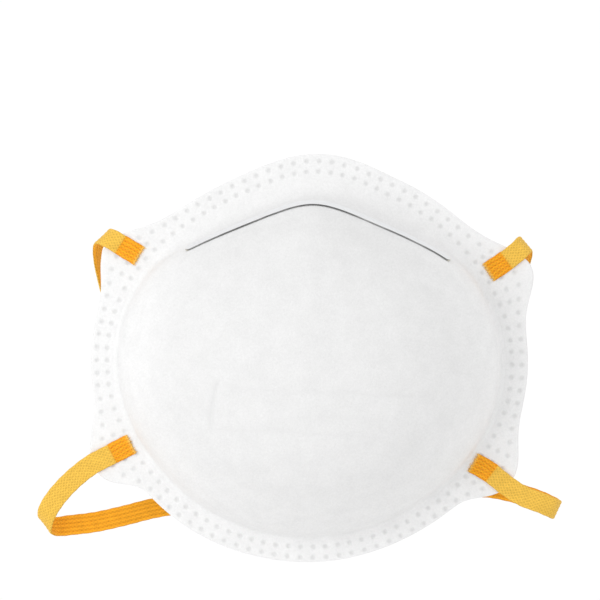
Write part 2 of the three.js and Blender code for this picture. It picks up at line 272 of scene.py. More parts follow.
def ribbon_rows(route):
    """Evenly spaced rows along a route: place, across and outward of each, and its distance along."""
    dense = np.linspace(0, len(route) - 1, ROUTE_SAMPLES)
    line, _ = interpolate([point for point, _ in route], dense, True)
    lengths = np.concatenate([[0], np.cumsum(np.linalg.norm(np.diff(line, axis=0), axis=1))])
    rows = int(round(lengths[-1] / ROW_STEP)) + 1
    along = np.linspace(0, lengths[-1], rows)
    stations = np.interp(along, lengths, dense)
    place, tangent = interpolate([point for point, _ in route], stations, True)
    looks, _ = interpolate([look for _, look in route], stations, False)
    across = unit(np.cross(looks, tangent))
    outward = unit(np.cross(unit(tangent), across))
    return place, across, outward, along


def melted_lines(side, along):
    """Irregular grooves along the melted weld, from -1 to 1."""
    drift = 0.9 * np.sin(along * 0.8 + 2.0 * side)
    broad = np.cos(side * 5.4 * math.pi + drift)
    narrow = np.cos(side * 9.7 * math.pi + 1.3 + 1.6 * drift)
    return 0.62 * broad + 0.38 * narrow


def ribbon_column(rows, face, side):
    """One column of points along a face (1 outer, -1 inner), and how deep in a groove each point lies."""
    outer = face == 1
    round_off = max(0.0, 1 - abs(side) ** EDGE_POWER) ** 0.5
    ridge = math.cos(side * RIBS * math.pi) * (abs(side) < RIBBED_SHARE)
    lines = melted_lines(side, rows.along)
    hatch = np.sin((side * STRAP_WIDTH / 2 * 1.2 + rows.along) * 2 * math.pi / PAD_HATCH_STEP)
    stitch_row = np.sin(rows.along * 2 * math.pi / KNIT_STEP) * math.cos(side * 12 * math.pi)
    knit = KNIT_HEIGHT * stitch_row * (1 if outer else INNER_KNIT_SHARE)
    woven = STRAP_THICKNESS / 2 + (OUTER_RIB if outer else INNER_RIB) * ridge + knit
    melted = PAD_THICKNESS / 2 + (PAD_LINE_HEIGHT * lines + PAD_HATCH_HEIGHT * hatch) * outer
    height = face * round_off * (woven * (1 - rows.pad) + melted * rows.pad)
    reach = STRAP_WIDTH / 2 * side * (1 + 0.03 * rows.pad + 0.012 * np.sin(rows.along * 1.7 + side))
    points = rows.place + rows.across * reach[:, None] + rows.outward * height[:, None]
    groove = np.clip(0.5 - 0.5 * (ridge * (1 - rows.pad) + lines * rows.pad), 0, 1)
    return points, groove


def ribbon_faces(rows, columns):
    """The ribbon's faces: a tube of rows, closed by strips across its two ends."""
    faces = ring_faces([columns] * rows)
    for start in (0, (rows - 1) * columns):
        for j in range(columns // 2 - 1):
            faces.append([start + j, start + j + 1, start + columns - 2 - j, start + columns - 1 - j])
    return faces


THREADS = 15                    # at each cut end
THREAD_VALUES = {"outer": 1.0, "melt": 0.3, "groove": 0.2, "fray": 1.0}
THREAD_SIDES = 5
THREAD_RINGS = 5
THREAD_FACES = ring_faces([THREAD_SIDES] * THREAD_RINGS)
THREAD_FACES.append(list(range(THREAD_SIDES)))
THREAD_FACES.append([(THREAD_RINGS - 1) * THREAD_SIDES + side for side in range(THREAD_SIDES)])


def frayed_thread(rows, end, number):
    """A short loose thread at a cut end of the ribbon, lying on the flange."""
    row, inward = (0, 4) if end == 0 else (len(rows.place) - 1, -4)
    across = rows.across[row]
    away = unit(rows.place[row] - rows.place[row + inward])
    start = rows.place[row] + across * ((number - THREADS // 2) / 7.3 * STRAP_WIDTH / 2) - away * 0.5
    length = RANDOM.uniform(0.75, 1.25)
    lean = RANDOM.uniform(-0.35, 0.35)
    rise = RANDOM.uniform(-0.05, 0.12)
    radius = RANDOM.uniform(0.07, 0.12)
    turn = np.arange(THREAD_SIDES)[:, None] * 2 * math.pi / THREAD_SIDES
    rings = []
    for share in np.linspace(0, 1, THREAD_RINGS):
        centre = start + away * share * length + across * lean * share ** 2 * length
        centre = centre + np.array([0, -rise * share + 0.1 * (1 - share), 0])
        spread = radius * (1 - 0.55 * share)
        rings.append(centre + spread * (np.cos(turn) * across + np.sin(turn) * rows.outward[row]))
    return np.vstack(rings)


def make_strap(name, route):
    """One ribbon along a route, flattened at its two welds, with loose threads at its cut ends."""
    place, across, outward, along = ribbon_rows(route)
    length = along[-1]
    count = len(along)
    to_end = np.minimum(along, length - along)
    pad = 1 - smoothstep(to_end, PAD_LENGTH - 0.25, PAD_LENGTH + 0.35)
    place[:, 1] += pad * (PAD_LEVEL - place[:, 1])
    rows = Rows(place, across, outward, along, pad)

    sides = np.linspace(-1, 1, FACE_COLUMNS)
    around = [(1, side) for side in sides] + [(-1, side) for side in sides[::-1]]
    columns = len(around)
    points, groove = zip(*(ribbon_column(rows, face, side) for face, side in around))
    grid = np.stack(points, axis=1)
    fray = RANDOM.uniform(-1, 1, (2, FACE_COLUMNS))
    fray = np.concatenate([fray, fray[:, ::-1]], axis=1)
    for end, row, inward in ((0, 0, 1), (1, count - 1, -1)):
        tangent = unit(place[row + 4 * inward] - place[row])
        grid[row] += tangent * (fray[end] * FRAY_REACH)[:, None]
        grid[row, :, 1] += CUT_SINK

    vertices = grid.reshape(-1, 3)
    faces = ribbon_faces(count, columns)
    values = {
        "outer": np.tile([(face + 1) / 2 for face, _ in around], count),
        "melt": np.repeat(pad, columns),
        "groove": np.stack(groove, axis=1).ravel(),
        "fray": np.repeat(1 - smoothstep(to_end, 0.25, FRAY_LENGTH), columns),
    }
    width = np.tile([(side + 1) / 2 * STRAP_WIDTH / 10 for _, side in around], count)
    uvs = np.column_stack([width, np.repeat(along / 10, columns)])
    for end in (0, 1):
        for number in range(THREADS):
            thread = frayed_thread(rows, end, number)
            faces += [[len(vertices) + corner for corner in face] for face in THREAD_FACES]
            vertices = np.vstack([vertices, thread])
            uvs = np.vstack([uvs, np.full((len(thread), 2), 0.3)])
            for key, value in THREAD_VALUES.items():
                values[key] = np.concatenate([values[key], np.full(len(thread), value)])
    return new_mesh(name, vertices, faces, values, uvs), place, length


upper_strap, upper_line, upper_length = make_strap("strap_upper", UPPER_ROUTE)
lower_strap, lower_line, lower_length = make_strap("strap_lower", LOWER_ROUTE)


def declare_strap(strap, prefix):
    """The strap's place baked into its mesh, in metres, and its parts in the CAD hidden."""
    body = f"{prefix}_strap"
    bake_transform(strap)
    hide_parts(f"{body}_end_left", f"{body}_loop", f"{body}_end_right")


declare_strap(upper_strap, "upper")
declare_strap(lower_strap, "lower")

# ---- the dome's surface, as in the CAD ----------------------------------------------------------------
DOME_DEPTH = 48.0
FLANGE_THICKNESS = 1.2
FILLET_DEPTH = 9.0
ROUND_POWER = 2.2
DEPTH_POWER = 2.3
NOSE_DEPTH_POWER = 3.0
FOOT_RADIUS = 54.3
FOOT_SIDE_GAIN = 5.3
FOOT_LEAN = 0.42
FOOT_SWELLS = ((90, 2.2, 17), (121, -1.55, 27), (69, -0.4, 8), (236, 0.9, 20))   # angle, height, spread
FLANGE_WIDTH = 6.9
FLANGE_NOSE_GAIN = 0.35
FLANGE_SKEW = 0.25
WALL_INSET = 1.7
TENT_PLANES = ((90.0, 51.8), (68.2, 48.4), (115.2, 47.5))
TENT_SHARPNESS = 24
# angle, height, and then spread and power of the side above and of the side below
EARS = (
    (26.0, 8.5, 9.6, 1.8, 8.6, 2),
    (152.5, 7.2, 8.9, 2, 9.4, 2),
    (-27.5, 7.2, 9.5, 2, 8.9, 3),
    (208.5, 8.3, 8.2, 3.2, 9.9, 2),
)


def bump(offset, spread, power=2):
    """A bell of height 1."""
    return np.exp(-np.abs(offset / spread) ** power)


def turn_between(angle, at):
    """The signed turn in degrees from one angle to another, the short way round."""
    return (angle - at + 540) % 360 - 180


def ear_height(angle):
    total = np.zeros_like(angle)
    for at, height, above, above_power, below, below_power in EARS:
        turn = turn_between(angle, at)
        total += height * np.where(turn > 0, bump(turn, above, above_power), bump(turn, below, below_power))
    return total


def foot_radius(angle):
    sideways = np.cos(np.radians(angle))
    swells = sum(height * bump(turn_between(angle, at), spread) for at, height, spread in FOOT_SWELLS)
    return FOOT_RADIUS + FOOT_SIDE_GAIN * sideways ** 4 + FOOT_LEAN * sideways + swells


def edge_radius(angle):
    nose = FLANGE_NOSE_GAIN * np.sin(np.radians(angle))
    skew = FLANGE_SKEW * np.sin(np.radians(2 * angle))
    return foot_radius(angle) + FLANGE_WIDTH + nose + skew + ear_height(angle)


def wall_radius(angle):
    total = (foot_radius(angle) - WALL_INSET) ** -TENT_SHARPNESS
    for toward, distance in TENT_PLANES:
        total = total + (np.maximum(0, np.cos(np.radians(angle - toward))) / distance) ** TENT_SHARPNESS
    return total ** (-1 / TENT_SHARPNESS)


def dome_radius(angle, depth):
    wall = wall_radius(angle)
    up = np.maximum(0, np.sin(np.radians(angle)))
    power = DEPTH_POWER + (NOSE_DEPTH_POWER - DEPTH_POWER) * up
    shape = np.maximum(0, 1 - (depth / DOME_DEPTH) ** power) ** (1 / ROUND_POWER)
    rise = np.maximum(0, 1 - np.sqrt(depth / FILLET_DEPTH))
    return wall * shape + (foot_radius(angle) - wall) * rise ** 2


def polar(angle, radius, depth):
    """A point at an angle and radius round the cup's axis, at a depth in front of the flange."""
    turn = np.radians(angle)
    y = -FLANGE_THICKNESS - depth + 0 * radius
    return np.stack([radius * np.cos(turn), y, radius * np.sin(turn)], axis=-1)


def dome_normal(angle, depth):
    """The dome's outward normal, from the surface a little before, after, below and above the point."""
    low = np.maximum(0.6, depth - 0.25)
    high = low + 0.5
    along = polar(angle, dome_radius(angle, high), high) - polar(angle, dome_radius(angle, low), low)
    before = polar(angle - 1, dome_radius(angle - 1, depth), depth)
    after = polar(angle + 1, dome_radius(angle + 1, depth), depth)
    return unit(np.cross(after - before, along))


# ---- the weld dots --------------------------------------------------------------------------------------
DOT_PAIRS = 98
INNER_ROW = 1.95                # from the dome's foot to the inner row
ROW_GAP = 3.1
EAR_ROW_SHARE = 0.62            # how far the outer row follows the ears outward
WIDE_GAP = 5.6                  # where the rows lie further apart than this, a dot goes between them
DOT_WANDER = 0.12               # millimetres, and degrees round the flange
DOT_RADIUS = 0.95
DOT_DEPTH = 0.30
DOT_LIP = 0.28                  # width of the raised lip round a dot
DOT_LIP_HEIGHT = 0.035
DOT_CHUNKS = 24                 # the distances are worked out in parts, to save memory


def weld_dots():
    """Centres of the dots on the flange, as x and z."""
    dense = np.linspace(0, 360, 3601)
    row = polar(dense, foot_radius(dense) + INNER_ROW, 0.0)
    length = np.concatenate([[0], np.cumsum(np.linalg.norm(np.diff(row, axis=0), axis=1))])
    pairs = np.interp((np.arange(DOT_PAIRS) + 0.5) * length[-1] / DOT_PAIRS, length, dense)
    inner = foot_radius(pairs) + INNER_ROW
    outer = inner + ROW_GAP + EAR_ROW_SHARE * ear_height(pairs)
    wide = outer - inner > WIDE_GAP
    angle = np.concatenate([pairs, pairs, pairs[wide]])
    radius = np.concatenate([inner, outer, (inner + outer)[wide] / 2])
    radius = radius + RANDOM.uniform(-DOT_WANDER, DOT_WANDER, len(radius))
    angle = angle + RANDOM.uniform(-DOT_WANDER, DOT_WANDER, len(angle))
    return np.column_stack([radius * np.cos(np.radians(angle)), radius * np.sin(np.radians(angle))])


DOTS = weld_dots()


def dot_distance(points):
    """Distance in the flange's plane to the nearest dot."""
    flat = points[:, [0, 2]]
    nearest = np.full(len(flat), 1e3)
    for chunk in np.array_split(np.arange(len(flat)), DOT_CHUNKS):
        gaps = flat[chunk][:, None, :] - DOTS[None, :, :]
        nearest[chunk] = np.sqrt((gaps ** 2).sum(axis=2)).min(axis=1)
    return nearest


# ---- the layers -----------------------------------------------------------------------------------------
FINE = 1260                     # columns of a flange face with dots
MIDDLE = 420                    # columns of the dome and of a plain face of the flange
FEW = 105                       # columns of the rings near the apex
FLANGE_RINGS = 38               # of a face with dots, and of a plain one
PLAIN_RINGS = 10
DOME_RINGS = 96
FEW_FROM = 84                   # the dome's ring from which the columns thin out


def dome_rings(columns, rings):
    """Depths of evenly spaced rings from the foot to near the apex, for each column."""
    angle = np.arange(columns) * 360 / columns
    dense = DOME_DEPTH * (1 - np.cos(np.linspace(0, math.pi, 700))) / 2
    dense = dense[:, None] + 0 * angle[None, :]
    radius = dome_radius(angle[None, :], dense)
    steps = np.hypot(np.diff(radius, axis=0), np.diff(dense, axis=0))
    length = np.vstack([np.zeros(columns), np.cumsum(steps, axis=0)])
    share = np.linspace(0, 1, rings + 1)[:-1]
    by_column = [np.interp(share * run[-1], run, depths) for run, depths in zip(length.T, dense.T)]
    depth = np.stack(by_column, axis=1)
    return angle[None, :] + 0 * depth, depth


DOME_ANGLE, DOME_DEPTHS = dome_rings(MIDDLE, DOME_RINGS)
DOME_POINTS = polar(DOME_ANGLE, dome_radius(DOME_ANGLE, DOME_DEPTHS), DOME_DEPTHS)
DOME_NORMALS = dome_normal(DOME_ANGLE, DOME_DEPTHS)
DOME_NORMALS[0] = (0, -1, 0)
FOOT_BLEND = smoothstep(DOME_DEPTHS, 0.0, 1.6)[..., None]
DOME_NORMALS = unit(DOME_NORMALS * FOOT_BLEND + np.array([0, -1, 0]) * (1 - FOOT_BLEND))
DOME_SHARE = 1 - (1 - np.minimum(DOME_DEPTHS / 6, 1)) ** 2.4


# the level creases: strength, height, share of the wander, and where in x each one begins and ends
LEVEL_CREASES = (
    (0.55, -8.2, 1.0, (-28, -22), (30, 42)),
    (0.60, -20.5, -0.6, (-32, -24), (6, 20)),
    (0.50, -15.6, 0.8, (-6, 2), (16, 26)),
)
UPRIGHT_CREASE = 1.5            # strength of the one that runs up the right cheek
CREASE_WIDTH = 0.5
CREASE_DEPTH = 0.34
SOFT_LUMPS = ((0.016, 9.0), (0.012, 3.2))   # height and wavelength, on the dome
FLANGE_LUMP = 0.018
FLANGE_WAVELENGTH = 2.6
EDGE_ROUND = 0.3                # width over which the flange's edge is rounded
COVER_EDGE_DROP = 0.16          # how far each visible face is pressed in at the edge
LINING_EDGE_DROP = -0.1
LINING_DOTS = -0.8              # depth of the dots and creases beside those of the cover
LINING_CREASES = 0.5


def between(values, begin, end):
    """1 between two places, fading in over the first span and out over the second."""
    return smoothstep(values, *begin) * (1 - smoothstep(values, *end))


def creases(points):
    """Faint creases pressed into the front of the dome: 0 where there is none."""
    x, y, z = points[..., 0], points[..., 1], points[..., 2]
    wander = 0.3 * np.sin(x / 5.0) + 0.15 * np.sin(x / 2.1 + 1)
    bowed = x + 28.0 - 0.012 * (z + 18) ** 2
    total = UPRIGHT_CREASE * bump(bowed, CREASE_WIDTH) * between(z, (-23, -18), (-9, -4))
    for strength, height, share, begin, end in LEVEL_CREASES:
        total = total + strength * bump(z - height - share * wander, CREASE_WIDTH) * between(x, begin, end)
    return smoothstep(-y, 26, 34) * total


# heights behind the flange's front: at the flange's rims, at its middle (None: the same), and inside the dome
Levels = namedtuple("Levels", "flange middle dome")


def dome_surface(levels, texture):
    """Rings of the dome at a distance inside its outer surface, from the foot to the apex."""
    offset = levels.flange + (levels.dome - levels.flange) * DOME_SHARE
    points = DOME_POINTS - DOME_NORMALS * offset[..., None]
    if texture:
        flat = points.reshape(-1, 3)
        relief = sum(height * soft_noise(flat, wavelength) for height, wavelength in SOFT_LUMPS)
        relief = relief.reshape(points.shape[:2]) * smoothstep(DOME_DEPTHS, 0.5, 5.0)
        relief = relief - texture * CREASE_DEPTH * creases(points)
        points = points + DOME_NORMALS * relief[..., None]
    rings = [points[r] if r < FEW_FROM else points[r][:: MIDDLE // FEW] for r in range(DOME_RINGS)]
    rings.append(polar(np.zeros(1), np.zeros(1), np.full(1, DOME_DEPTH)) + np.array([[0, levels.dome, 0]]))
    return rings


def flange_surface(levels, dots, edge_drop):
    """Rings of one face of the flange, from just outside the foot to the edge.  dots scales their depth."""
    columns, rings = (FINE, FLANGE_RINGS) if dots else (MIDDLE, PLAIN_RINGS)
    angle = np.arange(columns) * 360 / columns
    foot = foot_radius(angle)
    edge = edge_radius(angle)
    result = []
    for share in np.linspace(0, 1, rings + 1)[1:]:
        radius = foot + (edge - foot) * share
        points = polar(angle, radius, 0.0)
        height = np.full(columns, levels.flange, float)
        if levels.middle is not None:
            inside = smoothstep(radius - foot, 0.2, 0.9) * smoothstep(edge - radius, 0.25, 0.8)
            height += (levels.middle - levels.flange) * inside
        if dots:
            distance = dot_distance(points)
            pit = 1 - smoothstep(distance, 0.28, DOT_RADIUS + 0.12)
            lip = bump(distance - DOT_RADIUS - DOT_LIP, DOT_LIP)
            height += dots * (DOT_DEPTH * pit - DOT_LIP_HEIGHT * lip)
            height += FLANGE_LUMP * soft_noise(points, FLANGE_WAVELENGTH)
            height += edge_drop * bump(edge - radius, EDGE_ROUND)
        points[:, 1] += height
        result.append(points)
    return result


def weld_values(rings):
    """How far the cloth is melted: 1 in the middle of a weld dot, 0 between the dots and on the dome."""
    points = np.vstack(rings)
    low = points[:, 1] > -FLANGE_THICKNESS - 0.4
    on_flange = low & (np.hypot(points[:, 0], points[:, 2]) > 50)
    values = np.zeros(len(points))
    values[on_flange] = 1 - smoothstep(dot_distance(points[on_flange]), 0.3, DOT_RADIUS + 0.05)
    return values


def dome_shade_values(rings):
    """How much painted shade the cloth takes: 0 on the flange, where the weld presses it flat, 1 well inside
    the dome's foot.
    """
    points = np.vstack(rings)
    inside = FOOT_RADIUS - np.hypot(points[:, 0], points[:, 2])
    return smoothstep(inside, -2.0, 16.0)


def make_layer(name, node, outer, inner, fine_side=None):
    """A closed layer between two surfaces; the fine side is the one that shows the weld dots."""
    front_fine = fine_side == "outer"
    back_fine = fine_side == "inner"
    front = dome_surface(outer, 1.0 * front_fine)[::-1]
    front += flange_surface(outer, 1.0 * front_fine, COVER_EDGE_DROP)
    back = flange_surface(inner, LINING_DOTS * back_fine, LINING_EDGE_DROP)[::-1]
    back += dome_surface(inner, LINING_CREASES * back_fine)
    rings = front + back
    values = {"weld": weld_values(rings), "dome_shade": dome_shade_values(rings), "crease_shade": creases(np.vstack(rings))}
    piece = new_mesh(name, np.vstack(rings), ring_faces([len(ring) for ring in rings]), values)
    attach(piece, "mask")
    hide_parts(node)
    return piece


cover = make_layer("cover_nonwoven", "outer_cover",
                   Levels(0.0, None, 0.0), Levels(0.2, 0.42, 0.35), "outer")
shell = make_layer("shell_felt", "support_shell",
                   Levels(0.25, 0.48, 0.40), Levels(0.55, 0.62, 1.65))
web_outer = make_layer("filter_web_outer", "filter_layer_outer",
                       Levels(0.60, 0.66, 1.70), Levels(0.75, 0.70, 2.10))
web_inner = make_layer("filter_web_inner", "filter_layer_inner",
                       Levels(0.80, 0.74, 2.15), Levels(0.95, 0.78, 2.55))
lining = make_layer("lining_web", "inner_lining",
                    Levels(1.0, 0.84, 2.60), Levels(1.2, None, 2.90), "inner")

# ---- the nose clip and the foam ---------------------------------------------------------------------------
# where a strip lies on the dome's wall: angles round the dome, depths at its middle, how far its ends are
# lifted towards the flange, and distances from the wall
WallStrip = namedtuple("WallStrip", "centre half_angle back front end_lift low high")
CLIP_BASE = 0.2
CLIP_THICKNESS = 0.36
CLIP = WallStrip(89.1, 50.8, 17.6, 22.6, 3.5, CLIP_BASE, CLIP_BASE + CLIP_THICKNESS)
CLIP_COLUMNS = 221
CLIP_BEVEL = 0.06
CLIP_END = 0.025                # share of the half length over which the end is rounded
FOAM = WallStrip(90.0, 50.0, 3.0, 14.0, 0.0, -7.60, -3.60)
FOAM_COLUMNS = 190
FOAM_SIDES = 44
FOAM_TAPER = 0.35
FOAM_END = 0.05


def rounded(out, reach):
    """Width and thickness of a strip near its end, which is rounded over the last part of it."""
    left = max(0.0, (1 - out) / reach)
    full = math.sqrt(max(0.02, 1 - (1 - min(1.0, left)) ** 2))
    return full, min(1.0, 0.55 + 0.45 * full)


def make_pad(strip, columns, profile, end, taper=0.0):
    """A closed strip on the dome's wall, from points (depth share, distance share) round its section."""
    profile = np.asarray(profile, float)
    count = len(profile)
    rings = []
    for share in np.linspace(-1, 1, columns):
        out = abs(share)
        width, thickness = rounded(out, end)
        middle = (strip.back + strip.front) / 2 - strip.end_lift * out ** 2
        depth = middle + profile[:, 0] * (strip.front - strip.back) / 2 * (1 - taper * out ** 4) * width
        distance = (strip.low + strip.high) / 2 + profile[:, 1] * (strip.high - strip.low) / 2 * thickness
        angle = np.full(count, strip.centre - share * strip.half_angle)
        points = polar(angle, dome_radius(angle, depth), depth)
        rings.append(points + dome_normal(angle, depth) * distance[:, None])
    faces = ring_faces([count] * columns)
    faces.append(list(range(count)))
    faces.append([(columns - 1) * count + i for i in range(count)])
    return np.vstack(rings), faces


def flat_profile(across, bevel):
    """A flat strip's section with softened edges: depth share and distance share."""
    flat = np.linspace(-1 + bevel, 1 - bevel, across)
    top = [(s, 1.0) for s in flat]
    bottom = [(s, -1.0) for s in flat[::-1]]
    near = 1 - bevel * 0.3
    front = [(near, 0.86), (1.0, 0.45), (1.0, -0.45), (near, -0.86)]
    back = [(-depth, -distance) for depth, distance in front]
    return top + front + bottom + back


def crowned_profile(count):
    """A cushion's section: a rounded rectangle."""
    turns = np.arange(count) * 2 * math.pi / count
    return [(math.copysign(abs(math.cos(t)) ** 0.42, math.cos(t)),
             math.copysign(abs(math.sin(t)) ** 0.5, math.sin(t))) for t in turns]


def open_cells(points, count):
    """The foam's rough surface: its points moved in and out from the middle of their section."""
    relief = 0.10 * soft_noise(points, 1.7, 20) + 0.09 * soft_noise(points, 4.5)
    centres = np.repeat(points.reshape(-1, count, 3).mean(axis=1), count, axis=0)
    return points + unit(points - centres) * relief[:, None]


def make_clip():
    profile = flat_profile(9, CLIP_BEVEL)
    points, faces = make_pad(CLIP, CLIP_COLUMNS, profile, CLIP_END)
    cut = np.tile(np.abs([depth for depth, _ in profile]) > 0.97, CLIP_COLUMNS).astype(float)
    clip = new_mesh("clip_strip", points, faces, {"cut": cut})
    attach(clip, "mask")
    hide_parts("nose_clip")
    return clip


def make_foam():
    points, faces = make_pad(FOAM, FOAM_COLUMNS, crowned_profile(FOAM_SIDES), FOAM_END, FOAM_TAPER)
    foam = new_mesh("foam_cushion", open_cells(points, FOAM_SIDES), faces)
    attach(foam, "mask")
    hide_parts("nose_foam")
    return foam


clip = make_clip()
foam = make_foam()

# ---- materials ---------------------------------------------------------------------------------------


class Nodes:
    """A short way to write a material's nodes."""

    def __init__(self, name):
        self.material = bpy.data.materials.new(name)
        self.material.use_nodes = True
        self.tree = self.material.node_tree
        self.shader = self.tree.nodes["Principled BSDF"]
        self.place = self.add("ShaderNodeTexCoord").outputs["Object"]

    def add(self, kind, **settings):
        node = self.tree.nodes.new(kind)
        for key, value in settings.items():
            setattr(node, key, value)
        return node

    def link(self, source, target):
        self.tree.links.new(source, target)

    def set(self, **values):
        for key, value in values.items():
            self.shader.inputs[key.replace("_", " ")].default_value = value

    def stretched(self, scale, rotation=(0, 0, 0), source=None):
        mapping = self.add("ShaderNodeMapping")
        mapping.inputs["Scale"].default_value = scale
        mapping.inputs["Rotation"].default_value = [math.radians(turn) for turn in rotation]
        self.link(source or self.place, mapping.inputs["Vector"])
        return mapping.outputs["Vector"]

    def noise(self, scale, detail=3.0, rough=0.55, source=None, distortion=0.0):
        node = self.add("ShaderNodeTexNoise")
        node.inputs["Scale"].default_value = scale
        node.inputs["Detail"].default_value = detail
        node.inputs["Roughness"].default_value = rough
        node.inputs["Distortion"].default_value = distortion
        self.link(source or self.place, node.inputs["Vector"])
        return node.outputs["Fac"]

    def math(self, operation, first, second=0.0, third=None):
        node = self.add("ShaderNodeMath", operation=operation)
        for socket, value in zip(node.inputs, (first, second, third)):
            if value is None:
                continue
            if isinstance(value, (int, float)):
                socket.default_value = value
            else:
                self.link(value, socket)
        return node.outputs[0]

    def span(self, value, low, high, to_low=0.0, to_high=1.0):
        node = self.add("ShaderNodeMapRange")
        for socket, number in zip(node.inputs[1:5], (low, high, to_low, to_high)):
            socket.default_value = number
        self.link(value, node.inputs[0])
        return node.outputs[0]

    def mix(self, share, first, second):
        node = self.add("ShaderNodeMix", data_type="RGBA")
        self.link(share, node.inputs[0])
        for socket, value in ((node.inputs[6], first), (node.inputs[7], second)):
            if isinstance(value, tuple):
                socket.default_value = (*value, 1.0)
            else:
                self.link(value, socket)
        return node.outputs[2]

    def scaled(self, colour, amount):
        node = self.add("ShaderNodeVectorMath", operation="SCALE")
        self.link(colour, node.inputs[0])
        self.link(amount, node.inputs["Scale"])
        return node.outputs[0]

    def attribute(self, name):
        return self.add("ShaderNodeAttribute", attribute_name=name).outputs["Fac"]

    def colour(self, source):
        self.link(source, self.shader.inputs["Base Color"])

    def roughness(self, source):
        self.link(source, self.shader.inputs["Roughness"])

    def bump(self, height, distance, strength=1.0):
        node = self.add("ShaderNodeBump")
        node.inputs["Strength"].default_value = strength
        node.inputs["Distance"].default_value = distance
        self.link(height, node.inputs["Height"])
        self.link(node.outputs["Normal"], self.shader.inputs["Normal"])


FIBRE_TURNS = ((0, 0, 0), (35, 20, 60), (-40, 55, 15), (70, -25, 110))


def fibres(nodes, across, along):
    """Crossing fibres: the strongest of several stretched noises."""
    total = None
    for turn in FIBRE_TURNS:
        streak = nodes.noise(1.0, 2.0, 0.5, nodes.stretched((across, along, across), turn), 0.4)
        total = streak if total is None else nodes.math("MAXIMUM", total, streak)
    return total


Cloth = namedtuple("Cloth", "name light dark weld fibre_scale relief roughness")


def grey(brightness, warmth=0.0):
    return brightness, brightness, brightness - warmth


COVER_CLOTH = Cloth("spunbond_white", grey(0.91), grey(0.80), grey(0.73), 1500, 0.00013, 0.9)
LINING_CLOTH = Cloth("lining_soft", grey(0.80, 0.01), grey(0.72, 0.01), grey(0.62, 0.01), 1100, 0.00009, 0.95)
FELT_CLOTH = Cloth("felt_moulded", grey(0.78, 0.01), grey(0.66, 0.01), grey(0.6), 800, 0.00012, 0.95)
FILTER_CLOTH = Cloth("meltblown", grey(0.82), grey(0.77), grey(0.7), 2400, 0.00003, 0.95)
PAINTED_DOME_SHADE = 0.90              # painted shade: how dark the dome's cloth is made beside the flange's
CREASE_PAINTED_SHADE = 0.55             # painted shade in the creases: how much of the weld's colour the creases take


def nonwoven(cloth):
    nodes = Nodes(cloth.name)
    web = fibres(nodes, cloth.fibre_scale, cloth.fibre_scale / 9)
    cloud = nodes.noise(170.0, 3.0)
    tone = nodes.math("ADD", nodes.span(web, 0.45, 0.8, 0.0, 0.65), nodes.span(cloud, 0.3, 0.7, 0.0, 0.35))
    # painted shade: the dome's colour is made darker than the flange's
    shade = nodes.span(nodes.attribute("dome_shade"), 0, 1, 1.0, PAINTED_DOME_SHADE)
    fabric = nodes.scaled(nodes.mix(tone, cloth.dark, cloth.light), shade)
    welded = nodes.attribute("weld")
    # the weld dots' grey is the cloth's own colour; the creases' share of it is painted shade
    weld_and_crease_shade = nodes.math("MAXIMUM", welded, nodes.span(nodes.attribute("crease_shade"), 0, 1, 0.0, CREASE_PAINTED_SHADE))
    nodes.colour(nodes.mix(weld_and_crease_shade, fabric, cloth.weld))
    nodes.roughness(nodes.span(welded, 0, 1, cloth.roughness, 0.5))
    nodes.set(Sheen_Weight=0.04, Sheen_Roughness=0.6, Specular_IOR_Level=0.2)
    nodes.bump(web, cloth.relief)
    return nodes.material


ELASTIC_INNER = (0.98, 0.420, 0.018)
ELASTIC_OUTER = (0.84, 0.510, 0.074)
ELASTIC_MELTED = (0.97, 0.450, 0.012)
# painted shade: the melted weld's colour in its grooves, darker than on its ridges
ELASTIC_MELTED_GROOVE_SHADE = (0.86, 0.290, 0.005)
ELASTIC_FRAYED = (0.92, 0.52, 0.10)
BRAID_TURN = 38                 # degrees of the threads to either side
BRAID_SCALE = 3.9


def elastic():
    nodes = Nodes("elastic_braid")
    uv = nodes.add("ShaderNodeUVMap").outputs["UV"]
    outer = nodes.attribute("outer")
    melt = nodes.attribute("melt")
    groove = nodes.attribute("groove")
    threads = []
    for turn in (BRAID_TURN, -BRAID_TURN):
        wave = nodes.add("ShaderNodeTexWave", wave_type="BANDS", bands_direction="X")
        wave.inputs["Scale"].default_value = BRAID_SCALE
        wave.inputs["Distortion"].default_value = 0.5
        nodes.link(nodes.stretched((1, 1, 1), (0, 0, turn), uv), wave.inputs["Vector"])
        threads.append(wave.outputs["Fac"])
    braid = nodes.math("MAXIMUM", *threads)

    # the shade: darker in the grooves and between the threads, and mottled
    dip = nodes.math("MULTIPLY", groove, nodes.span(outer, 0, 1, 0.22, 0.07))
    gaps = nodes.span(outer, 0, 1, 0.90, 0.82)
    woven = nodes.math("MULTIPLY_ADD", nodes.math("SUBTRACT", 1.07, gaps), braid, gaps)
    shade = nodes.math("MULTIPLY", nodes.math("SUBTRACT", 1.05, dip), woven)
    mottle = nodes.noise(420.0, 4.0)
    shade = nodes.math("MULTIPLY", shade, nodes.span(mottle, 0.3, 0.7, 0.93, 1.06))

    face = nodes.mix(outer, ELASTIC_INNER, ELASTIC_OUTER)
    # painted shade: the melted weld is coloured darker in its grooves
    melted = nodes.mix(nodes.span(groove, 0, 1), ELASTIC_MELTED, ELASTIC_MELTED_GROOVE_SHADE)
    base = nodes.mix(nodes.attribute("fray"), nodes.mix(melt, face, melted), ELASTIC_FRAYED)
    nodes.colour(nodes.scaled(base, shade))
    nodes.roughness(nodes.span(melt, 0, 1, 0.72, 0.38))
    nodes.set(Sheen_Weight=0.05, Sheen_Roughness=0.5, Specular_IOR_Level=0.2)
    nodes.bump(braid, 0.00012)
    return nodes.material


